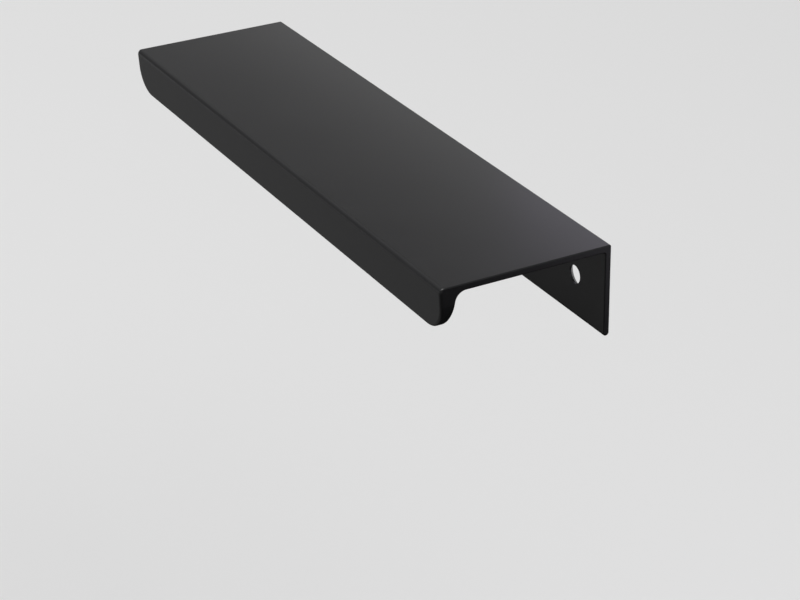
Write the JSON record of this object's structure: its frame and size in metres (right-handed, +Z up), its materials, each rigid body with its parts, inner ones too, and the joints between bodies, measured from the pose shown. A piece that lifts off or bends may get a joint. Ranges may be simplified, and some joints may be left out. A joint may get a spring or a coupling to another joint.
{
  "type": "tab pull",
  "caption": "Hooked finger pull: a thin flat plate with a tapered front lip to pull on and a rear leg with countersunk screw holes, fixed over the top edge of a drawer front.",
  "frame": {"origin": "midway between the two screw holes, on the leg's inner face", "axes": "+X along the pull, +Y from the finger lip towards the leg, +Z up out of the top face"},
  "size_m": [0.15, 0.039, 0.0203],
  "materials": {
    "black_coat": "fine matte black powder coat on extruded aluminium"
  },
  "bodies": {
    "root": {"tab_pull": "black_coat"}
  },
  "joints": []
}
